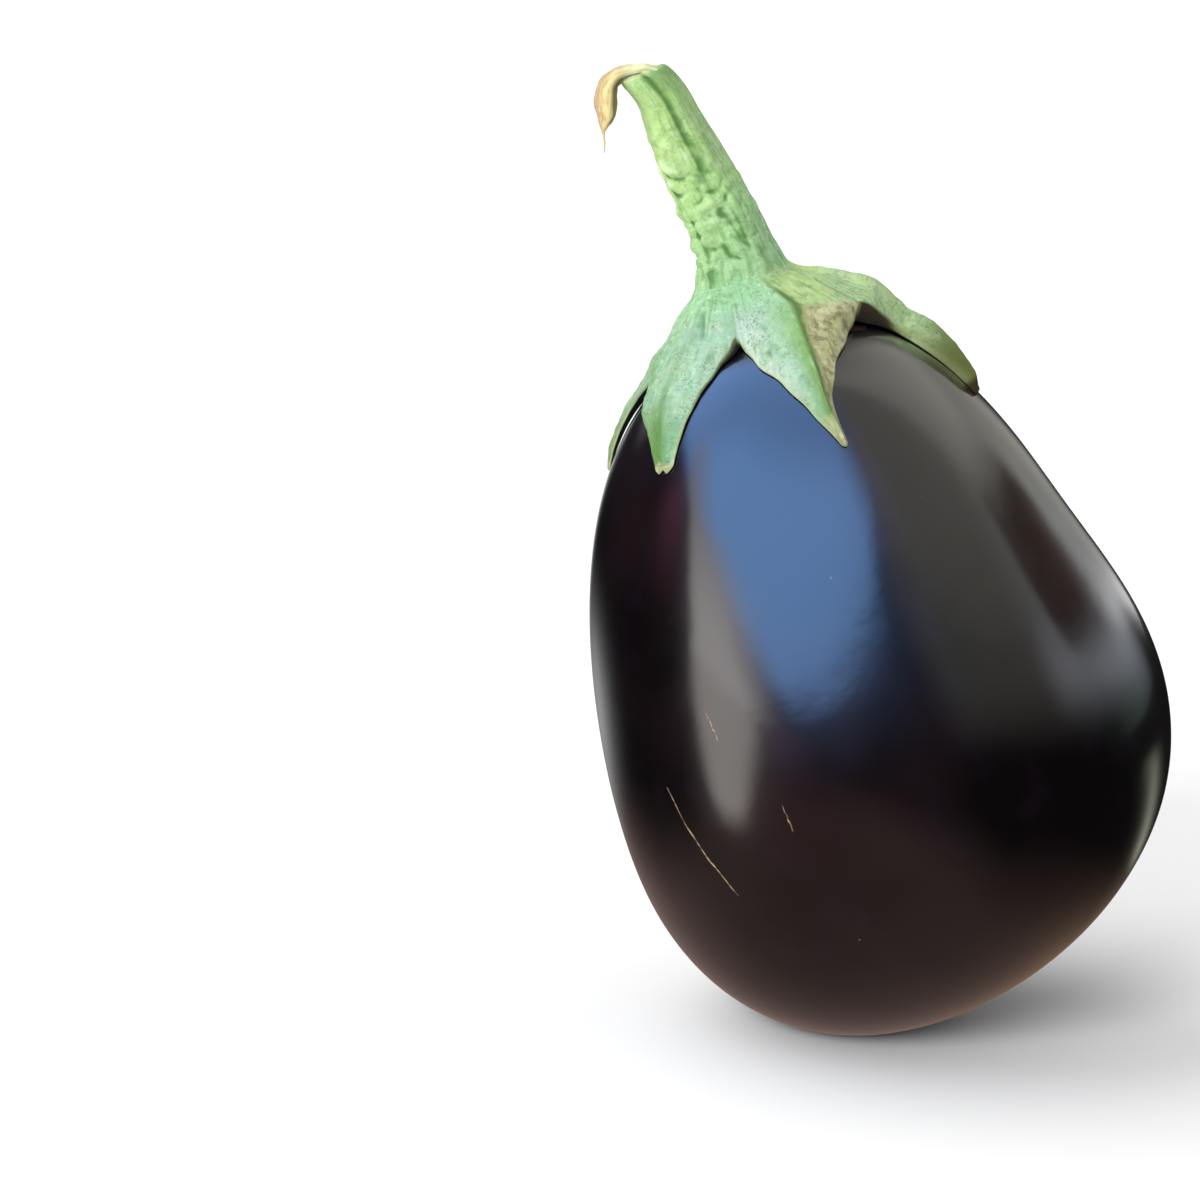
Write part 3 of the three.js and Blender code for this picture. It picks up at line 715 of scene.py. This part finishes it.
# The cap. Each sepal is a grid on top, with its part of the fillet, and a grid below, joined by
# walls at the edges and the tip; both run in to a pole under the stalk.
def capPiece(crown, green):
    f = capForm
    count = f["columns"]
    steps = np.arange(count - 1)
    keep = crown["c"][:, 0] <= f["overlap"][1]
    band, normal, c = (crown[key][keep][::-1] for key in ("band", "bandNormal", "c"))
    sink = f["sink"] * ease((c - f["overlap"][0]) / 0.1)
    points, faces, marks = [], [], {}

    def add(block, values):
        first = sum(len(part) for part in points)
        points.append(block.reshape(-1, 3))
        for key in (*greenFinish["marks"], "fibre"):
            tail = (3,) if key == "fibre" else ()
            value = np.broadcast_to(values.get(key, 0.0), block.shape[:-1] + tail)
            marks.setdefault(key, []).append(value.reshape(-1, *tail))
        return first

    underDisc = np.linspace(0, 1, f["underDisc"]) - 1
    underRows = np.append(underDisc, np.linspace(0, 1, f["lobe"] + 1)[1:])
    topPole = add(np.array([f["topPole"]]), {"under": 1.0})
    underPole = add(np.array([f["underPole"]]), {"under": 1.0})
    for i, q in enumerate(crown["tops"]):
        pick = (np.arange(count) + i * (count - 1)) % (5 * (count - 1))
        fillet = filletRows(band[:, pick], normal[:, pick], c, q["rough"][:1], sink)
        rows = q["points"] + q["normal"] * q["rough"][..., None]
        values = {}
        # past the cap's first ring its marks fade towards the stalk's
        ends = {"warm": 0.15 - 0.15 * np.cos(crown["az"][:, pick] * deg), "hollow": q["hollow"][:1]}
        for key in ("warm", "brown", "edge", "hollow", "crest", "deep", "under", "bloom"):
            first = q[key][:1]
            faded = mix(first, ends.get(key, 0.0), ease(c / 0.9)) + 0 * first
            values[key] = np.concatenate([faded, q[key]])
        stem = q["stem"][:1] + 0.2 * ease(c * 0.9) + 0 * pick
        values["stem"] = np.concatenate([stem, q["stem"]])
        onward = q["fibre"][:1] + beside(0, -8 * c, 0)
        values["fibre"] = np.concatenate([onward, q["fibre"]])
        block = np.concatenate([fillet, rows])
        top = add(block, values)
        # underside: its own rows near the collar, the same rows as the top along the sepal
        *_, fibre, foot, outward, _, under = sepalRows(i, underRows)
        lower = foot + outward * under[..., None]
        # the underside is painted fully in shade
        bottom = add(lower, {"under": 1.0, "fibre": fibre})
        faces += [gridFaces(len(block), count, False, top)[:, ::-1],
                  beside(topPole, top + steps, top + 1 + steps),
                  gridFaces(len(lower), count, False, bottom),
                  beside(underPole, bottom + 1 + steps, bottom + steps)]
        # walls down the two edges and across the tip
        k = (np.arange(f["lobe"]) - f["lobe"]) * count
        upper, under = top + (len(block) - 1) * count, bottom + (len(lower) - 1) * count
        left, leftUnder = upper + k, under + k
        right, rightUnder = left + count - 1, leftUnder + count - 1
        faces += [beside(left, leftUnder, leftUnder + count, left + count),
                  beside(right, right + count, rightUnder + count, rightUnder),
                  beside(upper, under, under + 1, upper + 1) + steps[:, None]]
    marks = {key: np.concatenate(parts) for key, parts in marks.items()}
    piece = makePiece("calyxCap", np.vstack(points), faces, green, marks, merge=0.006)
    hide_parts("calyx")


# The stalk: its part of the fillet, its rings, and rings that shrink over the torn end, with a
# pole there and one below.
def stemPiece(crown, green):
    f, join, t, az = capForm, crown["join"], crown["t"], crown["az"]
    columns = az.shape[1]
    keep = crown["c"][:, 0] >= f["overlap"][0]
    c = crown["c"][keep]
    sink = f["sink"] * ease((f["overlap"][1] - c) / 0.1)
    band = filletRows(crown["band"][keep], crown["bandNormal"][keep], c, join["rough"][:1], sink)
    # the torn end: rough pale pith, a little domed
    end = crown["stalk"][-1]
    onward = unit(stalkMiddle(np.array([1.0])) - stalkMiddle(np.array([0.99])))
    middle = end.mean(0)
    torn = 0.35 * lumps(end, 1.3, 6.0)[..., None] * onward
    inner = [mix(middle, end, share) + onward * lift + torn * share
             for share, lift in stalkForm["torn"]]
    block = np.concatenate([band, crown["stalk"], np.array(inner)])
    poles = [middle + stalkForm["torn"][-1][1] * onward, [stalkForm["foot"]]]
    points = np.vstack([block.reshape(-1, 3), *poles])
    rows = len(block)
    last = (rows - 1) * columns
    faces = [gridFaces(rows, columns, True), fanFaces(last, columns, rows * columns),
             fanFaces(0, columns, rows * columns + 1, flip=True)]
    nBand, nEnd = len(band), len(inner)
    fade = ease(c / 0.9)
    # yellower towards the top and on the left, partly a painted tint of the light from the left
    warmStalk = 0.15 + 0.6 * ease(1.5 * t[:, None]) - 0.15 * np.cos(az * deg)
    # painted shade in the creases and pits, and a painted highlight on the knobs' tops higher up
    creaseShadeKnobLight = -crown["relief"] * np.where(crown["relief"] > 0, ease(2.5 * t - 0.5)[:, None], 1.1)
    none = np.zeros((len(t) + nEnd, columns))
    grown = mix(0.4 + 0.2 * ease(0.9), 1, ease((t - t[0]) / 0.22))[:, None] + 0 * az
    lift = np.concatenate([np.zeros(nBand), t, np.ones(nEnd)])[:, None]
    # each mark as blocks of rows from the fillet up, then its values at the end's pole and at
    # the foot's
    blocks = {
        "warm": ([mix(join["warm"][:1], warmStalk[:1], fade), warmStalk,
                  warmStalk[-1:].repeat(nEnd, 0)], [0.5, 0.5]),
        "hollow": ([mix(join["hollow"][:1], creaseShadeKnobLight[:1], fade), creaseShadeKnobLight, none[:nEnd]], [0, 0]),
        "stem": ([0.4 + 0.2 * ease(c * 0.9) + 0 * az, grown, 1 + none[:nEnd]], [1, 1]),
        "crest": ([mix(join["crest"][:1], 0, fade), none], [0, 0]),
        "brown": ([mix(join["brown"][:1], 0, fade), none], [0, 0]),
        "cut": ([0 * band[..., 0], none[:len(t) - 3], 0.3 + none[:3], 1 + none[:nEnd]], [1, 0]),
        # painted shade: darker on the stalk's right side, away from the light, and a little towards
        # its torn end
        "deep": ([0.5 * ease(0.2 + 0.9 * np.cos((az + 15) * deg)) * lift
                  + 0.2 * ease((lift - 0.7) / 0.2)], [0, 0]),
    }
    marks = {key: np.append(np.concatenate(parts), ends) for key, (parts, ends) in blocks.items()}
    marks.update({key: np.zeros(len(points)) for key in ("edge", "under", "bloom")})
    fibre = beside(az * deg * 6.5, -8 - 40 * lift, 0)
    marks["fibre"] = np.vstack([fibre.reshape(-1, 3), [[0, 0, 0], [0, 0, 0]]])
    piece = makePiece("stemPiece", points, faces, green, marks)
    piece.visible_glossy = False
    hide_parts("stem")


# The withered strip's middle line from the stalk's torn end on, then its half width and half
# thickness at the same stations, all in mm.
stripLine = np.array([
    [-4.5, -4.0, 119.5], [-5.95, -4.3, 120.45], [-8.2, -4.6, 120.95], [-10.5, -4.9, 121.0],
    [-12.1, -5.2, 120.2],
    [-13.1, -5.4, 118.7], [-13.7, -5.5, 116.9], [-14.2, -5.5, 115.2], [-15.15, -5.5, 113.65],
    [-15.7, -5.5, 112.5], [-16.0, -5.5, 110.8], [-16.6, -5.5, 109.0],
])
stripForm = {
    "wide": [2.7, 2.6, 2.4, 2.2, 2.1, 2.1, 2.0, 1.75, 1.05, 0.34, 0.17, 0.12],
    "thick": [0.6, 0.95, 1.25, 1.45, 1.8, 2.05, 2.1, 1.75, 0.95, 0.3, 0.16, 0.12],
    "rows": 200, "around": 60,
    "fibre": 24, "green": [7.5, 4.5],  # mm along its fibres: all, up to the last green, its fade
}
# Dry bark: straw-coloured with lengthwise fibres, darker olive on its hollow side as painted shade,
# browner in patches, and still a little green where it tears off the stalk.
barkFinish = {
    "marks": ["outer", "hollow", "start"],
    "noises": {"strand": ((2.6, 0.3), 5, 0.5, 0), "patchy": (1.4, 4)},
    "made": {},
    "layers": [
        ("#d8c88e", "#ae9056", ("strand", 0.4, 0.75)),
        (("#c09d7c", "#967557", "patchy"), "outer"),
        ("#a97e58", ("patchy", 0.58, 0.78), 0.4),
        (("#8d8750", "#6a6433", "patchy"), "hollow"),
        ("#d3dcae", "start", 0.8),
    ],
    "bumps": {"Normal": ("strand", 0.7, 2e-4)},
    "shader": {"Roughness": 0.7, "Sheen Weight": 0.1},
}


# The strip's middle line at t from 0 to 1.
def stripMiddle(t):
    return beside(*(curveThrough(stripLine[:, i], t) for i in range(3)))


# A ribbon bowed into a channel, its hollow side inwards, that narrows to a hanging fibre.
def makeStrip():
    f = stripForm
    t = np.linspace(0, 1, f["rows"])
    at, side, back, _ = framesAlong(stripMiddle, t, np.array([-0.6, 0, 0.8]))
    n = f["around"]
    phi = (2 * math.pi * np.arange(n) / n)[None, :]
    t = t[:, None]
    c, s = np.cos(phi), np.sin(phi)
    c, s = np.sign(c) * np.abs(c) ** 0.7, np.sign(s) * np.abs(s) ** 0.7
    wide, thick = curveThrough(f["wide"], t), curveThrough(f["thick"], t)
    body = ease((0.78 - t) / 0.12)
    hollow = np.where(c < 0, ease((0.85 - np.abs(s)) / 0.4), 0) * body
    wrinkle = 1 + 0.05 * body * np.sin(7 * phi + 5 * t) + 0.04 * body * np.sin(40 * t + 2 * phi)
    x = thick * mix(c, 0.3, hollow) * wrinkle
    y = wide * s * wrinkle
    rings = offLine(at[:, None], side[:, None], back[:, None], x, y)
    rings = rings + 0.1 * body[..., None] * unit(rings - at[:, None]) * lumps(rings, 1.1)[..., None]
    points = np.vstack([rings.reshape(-1, 3), at[:1], at[-1:]])
    pole = f["rows"] * n
    faces = [gridFaces(f["rows"], n, True), fanFaces(0, n, pole, flip=True),
             fanFaces(pole - n, n, pole + 1)]
    fibre = beside(phi * 2, f["fibre"] * t, 0).reshape(-1, 3)
    # painted shade: darker olive on the channel's hollow side
    channelShade = 0.85 * np.maximum(hollow, ease((-c - 0.25) / 0.6) * body)
    start = ease((f["green"][0] - f["fibre"] * t) / f["green"][1])
    marks = {
        "hollow": np.append(channelShade, [0, 0]), "start": np.append(start + 0 * phi, [1, 0]),
        "outer": np.append(0.9 * ease((c - 0.2) / 0.6) + 0 * t, [0, 0]),
        "fibre": np.vstack([fibre, [[0, 0, 0], [0, f["fibre"], 0]]]),
    }
    piece = makePiece("dryTip", points, faces, makeMaterial("witheredBark", barkFinish), marks)
    piece.visible_glossy = False
    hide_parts("dry_stem_tip")


# Healed scratches on the skin: polar angle from the stalk and direction at a few stations, in
# degrees, and half the width in mm. Their section is a flat ridge, as shares of that width
# across and mm above the skin.
scratches = [
    {"path": [(86.9, 220.8), (94.2, 223.7), (100.0, 226.6), (105.0, 229.5), (109.5, 232.1)],
     "width": 0.22},
    {"path": [(71.2, 234.9), (75.0, 236.1), (78.6, 237.2)], "width": 0.2},
    {"path": [(92.9, 247.8), (95.6, 248.3), (98.5, 248.7)], "width": 0.16},
    {"path": [(82, 20), (86, 21.5), (90, 22)], "width": 0.18},
    {"path": [(98, 118), (104, 116.5), (109, 116)], "width": 0.2},
    {"path": [(76, 160), (79, 161.5), (83, 162)], "width": 0.14},
]
scratchForm = {
    "section": [(-1, -0.02), (-0.5, 0.03), (0, 0.045), (0.5, 0.03), (1, -0.02), (0, -0.08)],
    "rows": 60,
}
# Corky scar tissue: tan, broken by the purple skin where it is thin.
scratchFinish = {
    "marks": [], "noises": {"thin": (0.7, 4)}, "made": {}, "bumps": {},
    "layers": [("#a98f66", "#4c2f2c", ("thin", 0.42, 0.62))],
    "shader": {"Roughness": 0.55},
}


# Each scratch is the section carried along its path over the skin, narrower towards its ends.
def makeScratches():
    section, count = scratchForm["section"], scratchForm["rows"]
    n = len(section)
    points, faces, total = [], [], 0
    for scratch in scratches:
        path = np.array(scratch["path"])
        u = np.linspace(0.003, 0.997, count)
        theta, az = (curveThrough(path[:, i], u) * deg for i in (0, 1))
        at, normal = skinPoint(theta, az), skinNormal(theta, az)
        across = unit(np.cross(normal, unit(np.gradient(at, axis=0))))
        taper = (4 * u * (1 - u)) ** 0.6 * (0.75 + 0.25 * np.sin(23 * u))
        wobble = (0.12 * np.sin(19 * u) * taper)[:, None] * across
        rows = [at + wobble + across * (scratch["width"] * taper * side)[:, None] + normal * lift
                for side, lift in section]
        ends = [(skinPoint(*(path[i] * deg)) + 0.01 * normal[i])[None, :] for i in (0, -1)]
        points += [np.stack(rows, axis=1).reshape(-1, 3), *ends]
        pole = total + count * n
        faces += [gridFaces(count, n, True, total)[:, ::-1], fanFaces(total, n, pole),
                  fanFaces(pole - n, n, pole + 1, flip=True)]
        total = pole + 2
    piece = makePiece("skinScratches", np.vstack(points), faces,
                      makeMaterial("healedScratch", scratchFinish))


# The sum of colours, each times its share at every point.
def tinted(*glints):
    return sum(np.array(colour) * share[..., None] for colour, share in glints)


# 1 between two levels and 0 outside them, eased over a span at each.
def within(x, start, rise, end, fall, middle=0.0):
    return ease((x - start) / rise + middle) * ease((end - x) / fall + middle)


# A part of the stage: a grid of points in metres, with the light that gloss sees at each and
# how far it covers what is behind it.
def makeSheet(name, points, light, cover, up=False):
    mesh = bpy.data.meshes.new(name)
    corners = gridFaces(*points.shape[:2], False)
    mesh.from_pydata(points.reshape(-1, 3), [], (corners[:, ::-1] if up else corners).tolist())
    layer = mesh.attributes.new("light", "FLOAT_COLOR", "POINT")
    given = np.append(light, cover[..., None], -1)
    layer.data.foreach_set("color", given.astype(np.float32).ravel())
    sheet = addObject(name, mesh)
    made = bpy.data.materials.new(name)
    made.use_nodes = True
    made.node_tree.nodes.clear()
    sheet.data.materials.append(made)
    colour = addNode(made.node_tree, "Attribute", out="Color", attribute_name="light")
    glow = addNode(made.node_tree, "Emission", {"Color": colour, "Strength": 1.0})
    return sheet, made.node_tree, glow


# Pale matt floor, rings round the piece that grow outwards. What gloss mirrors of it is dimmer:
# warm in the shade close by, dark further off, with one bright strip on the left.
def makeFloor():
    r, az = np.meshgrid(np.append(0, np.geomspace(0.02, 9, 90)), np.linspace(-180, 180, 181),
                        indexing="ij")
    far = np.log(np.maximum(r, 0.01))

    def beyond(metres, over):
        return ease((far - math.log(metres)) / over)

    near = np.interp(az, [-180, -120, -95, -75, -45, -15, 10, 40, 100, 140, 180],
                     [0.15, 0.1, 0.09, 0.12, 0.34, 0.32, 0.19, 0.1, 0.07, 0.1, 0.13])
    warm = ease((np.log(near) + 0.5 - far) / 1.1)
    left = np.interp(far, np.log([0.13, 0.2, 0.5]), [-58, -65, -70])
    right = np.interp(far, np.log([0.13, 0.2, 0.5]), [-51, -49, -46])
    strip = within(az, left, 8, right, 8, 0.5) * beyond(0.125, 0.35)
    light = 0.008 + tinted(
        ([0.24, 0.165, 0.145], warm), ([3.0, 2.85, 2.7], strip),
        ([0.3, 0.18, 0.33], bump(az + 38, 8) * beyond(0.3, 0.6)),
        ([0.07, -0.02, 0.0], warm * bump(az + 30, 16) * beyond(0.09, 0.35)),
        ([-0.02, -0.025, -0.05], warm * bump(az - 95, 45)),
        ([0.42, 0.44, 0.34],
         bump(az - 121, 6) * within(far, math.log(0.09), 0.2, math.log(0.36), 0.4)),
        ([0.5, 0.5, 0.5], bump(az + 148, 16) * bump(far - math.log(0.23), 0.5)),
        ([1.0, 1.0, 1.0], bump(az + 174, 8) * beyond(0.16, 0.6)))
    points = beside(r * np.sin(az * deg), -r * np.cos(az * deg), 0)
    floor, tree, glow = makeSheet("floor", points, light, 1 + 0 * r, up=True)
    floor.data.materials[0].name = "floorPale"
    matt = addNode(tree, "BsdfPrincipled", {"Base Color": (0.86, 0.86, 0.86, 1), "Roughness": 0.9,
                                            "Specular IOR Level": 0.0})
    glossy = addNode(tree, "LightPath", out="Is Glossy Ray")
    addNode(tree, "OutputMaterial", {0: addNode(tree, "MixShader", {0: glossy, 1: matt, 2: glow})})


# A lit card that only gloss sees. It stands in the given directions: azimuth from the camera's
# side towards +X, and elevation, in degrees; away is how far off it is.
def makeCard(name, az, el, away, light, cover):
    a, e = az * deg, el * deg
    out = beside(np.sin(a) * np.cos(e), -np.cos(a) * np.cos(e), np.sin(e))
    points = (np.array([0, 0, 0.08]) + 1.5 * out) * away
    card, tree, glow = makeSheet(name, points, light, cover)
    alpha = addNode(tree, "Attribute", out="Alpha", attribute_name="light")
    clear = addNode(tree, "BsdfTransparent")
    addNode(tree, "OutputMaterial", {0: addNode(tree, "MixShader", {0: alpha, 1: clear, 2: glow})})
    card.data.materials[0].cycles.emission_sampling = "NONE"
    card.visible_camera = card.visible_diffuse = card.visible_shadow = False
    card.visible_transmission = card.visible_volume_scatter = False


# Directions over a card: elevations and azimuths, each from, to and how many.
def sweep(elevations, azimuths):
    return np.meshgrid(np.linspace(*elevations), np.linspace(*azimuths), indexing="ij")


def makeCards():
    # open sky, high on the left and round behind the camera
    el, az = sweep((-3, 89, 80), (-178, 60, 160))
    low = np.interp(az, [-150, -120, -95, -75, -60, -45, -32, -20, -10, 0, 10, 20, 27],
                    [40, 36, 31, 22, 12, 5, 3, 8, 14.5, 21, 28, 38, 50])
    cover = ease((el - low) / 7 + 0.5) * within(az, -165, 20, 19, 20, 0.5)
    further = np.clip(ease((el - 38) / 30) + ease((-60 - az) / 40), 0, 1)
    light = mix(np.array([1.55, 3.05, 6.2]), np.array([1.1, 2.2, 4.6]), further[..., None])
    makeCard("skyCard", az, el, 1.0, light, cover)

    # a bright window low on the left
    el, az = sweep((-4, 40, 50), (-100, -30, 80))
    left = np.interp(el, [-4, 0, 10, 20, 27, 40], [-71, -69.5, -72, -76, -83, -92])
    right = np.interp(el, [-4, 0, 5, 15, 22, 40], [-46, -43, -44, -52, -67, -88])
    soft = np.interp(el, [-4, 2, 15], [12, 24, 28])
    bright = np.interp(el, [0, 14, 26], [1, 0.7, 0.5])
    makeCard("windowCard", az, el, 0.98, tinted(([4.0, 3.8, 3.75], bright)),
             within(az, left, 7, right, soft, 0.5))

    # a room's greys on the right, lighter above a soft edge, with one brown beam across
    el, az = sweep((-4, 89, 100), (0, 200, 170))
    beam = np.interp(az, [85, 100, 125, 140, 170], [29, 26, 20, 14, -6])
    aboveBeam = 1 - ease((beam - el) / 5)
    light = tinted(
        ([0.38, 0.385, 0.34], ease((el - 1) / 24) * within(az, 12, 18, 150, 30)),
        ([0.4, 0.39, 0.35], ease((el - 27) / 9) * ease((az - 24) / 14)),
        ([0.6, 0.59, 0.53], ease((az - 84) / 22) * aboveBeam),
        ([0.85, 0.9, 1.05], within(az, 70, 18, 144, 22) * bump(el - beam + 9, 8)),
        ([0.1, 0.16, 0.12], bump(az - 118, 12) * bump(el, 8)),
        ([0.6, 0.56, 0.95], bump(az - 20, 12) * bump(el - 50, 18)))
    brown = bump(el - beam + 1, 5.2) * within(az, 92, 8, 136, 14)
    light = light * (1 - np.minimum(1, 1.5 * brown)[..., None]) + tinted(
        ([0.1, 0.035, 0.01], brown),
        ([1.3, 1.3, 1.3], bump(el - beam + 6, 2.5) * ease((az - 118) / 16)))
    makeCard("roomCard", az, el, 1.02, light, within(az, 6, 10, 165, 14))

    # a dim violet strip on the left, and soft light from behind
    el, az = sweep((0, 35, 20), (-112, -72, 20))
    makeCard("violetCard", az, el, 0.99, tinted(([0.5, 0.14, 0.27], 1 + 0 * az)),
             bump(az + 88, 8) * bump(el - 17, 11))
    el, az = sweep((8, 70, 30), (-200, -130, 40))
    makeCard("backCard", az, el, 0.97, tinted(([1.1, 1.15, 1.25], 1 + 0 * az)),
             within(el, 8, 16, 70, 20) * within(az, -187, 14, -130, 16))


# What lights the piece: the room's own level, dimmer where gloss sees it and white behind
# everything, and two suns, each with where it comes from, its power and its width in degrees.
lightForm = {
    "room": (0.64, 0.645, 0.66, 1), "mirrored": (0.014, 0.014, 0.015, 1), "behind": (1, 1, 1, 1),
    "sunColour": (1, 0.99, 0.97),
    "suns": {"key": ((-0.652, 0.298, 0.697), 1.89, 72), "fill": ((-0.462, -0.779, 0.424), 2.2, 28)},
}
cameraForm = {
    "sensor": 36, "lens": 123.24, "far": 30,  # mm, mm and m
    "place": (-0.04491, -0.72674, 0.23190), "tilt": 78,
}


def makeLights():
    f = lightForm
    world = bpy.data.worlds.new("studio")
    bpy.context.scene.world = world
    world.use_nodes = True
    tree = world.node_tree
    level = f["room"]
    for ray, other in (("Is Glossy Ray", f["mirrored"]), ("Is Camera Ray", f["behind"])):
        level = addNode(tree, "Mix", {0: addNode(tree, "LightPath", out=ray), 6: level, 7: other},
                        2, data_type="RGBA")
    tree.links.new(level, tree.nodes["Background"].inputs[0])
    for name, (toward, energy, angle) in f["suns"].items():
        sun = bpy.data.lights.new(name, "SUN")
        sun.energy = energy
        sun.angle = angle * deg
        sun.color = f["sunColour"]
        lamp = addObject(name, sun)
        lamp.rotation_euler = Vector(toward).to_track_quat("Z", "Y").to_euler()
        lamp.visible_glossy = False


def makeCamera():
    f = cameraForm
    lens = bpy.data.cameras.new("camera")
    lens.sensor_width = f["sensor"]
    lens.lens = f["lens"]
    lens.clip_end = f["far"]
    camera = addObject("camera", lens)
    camera.location = f["place"]
    camera.rotation_euler = (f["tilt"] * deg, 0, 0)
    bpy.context.scene.camera = camera
    bpy.context.scene.view_settings.view_transform = "Standard"


makeCamera()
print("camera set")
makeFruit()
print("fruit made")
crown = makeCrown()
greenMaterial = makeMaterial("capGreen", greenFinish)
capPiece(crown, greenMaterial)
print("cap made")
stemPiece(crown, greenMaterial)
print("stalk made")
makeStrip()
makeScratches()
print("withered strip and scratches made")
makeFloor()
makeCards()
makeLights()
print("stage made")
